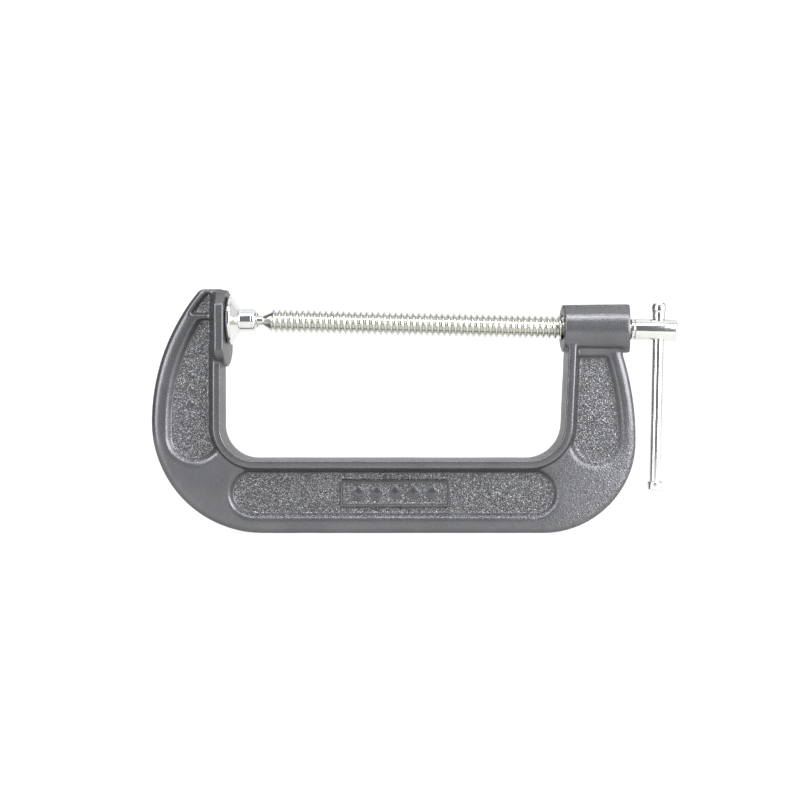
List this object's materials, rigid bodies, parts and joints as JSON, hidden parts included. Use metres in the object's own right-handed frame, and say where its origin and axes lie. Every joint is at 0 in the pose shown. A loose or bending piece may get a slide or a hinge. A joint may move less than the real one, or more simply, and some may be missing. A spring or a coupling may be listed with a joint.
{
  "type": "c clamp",
  "caption": "Painted cast C clamp with a plated screw, swivel pad and sliding T-handle, closed, for holding work between its anvil and pad.",
  "frame": {"origin": "centre of the anvil's round face, on the boss's axis", "axes": "+X from the anvil towards the boss and the handle, +Z from the bar towards the screw, Y = 0 is the casting's plane of symmetry"},
  "size_m": [0.3608, 0.043, 0.1675],
  "materials": {
    "casting_paint": "grey hammered enamel over a rough iron casting",
    "plated_screw": "bright zinc plate on rolled steel thread",
    "plated_pad": "bright zinc plate, turned and swaged",
    "plated_handle": "bright zinc plate on drawn bar"
  },
  "bodies": {
    "frame": {"frame": "casting_paint"},
    "pad": {"swivel_pad": "plated_pad"},
    "screw": {"screw": "plated_screw"},
    "handle": {"handle_bar": "plated_handle", "handle_cap_upper": "plated_handle", "handle_cap_lower": "plated_handle"}
  },
  "joints": [
    {"name": "screw_travel", "type": "slide", "parent": "frame", "child": "pad", "axis": [0.9997, 0, -0.0237], "range_m": [0, 0.204]},
    {"name": "screw_turn", "type": "hinge", "parent": "pad", "child": "screw", "pos_m": [0.2545, 0, 0], "axis": [0.9997, 0, -0.0237], "range_deg": [0, 18360]},
    {"name": "handle_slide", "type": "slide", "parent": "screw", "child": "handle", "axis": [0.0237, 0, 0.9997], "range_m": [0, 0.0955]}
  ],
  "couplings": [
    {"joint": "screw_travel", "follows": "screw_turn", "m_per_rad": 0.00063662}
  ]
}
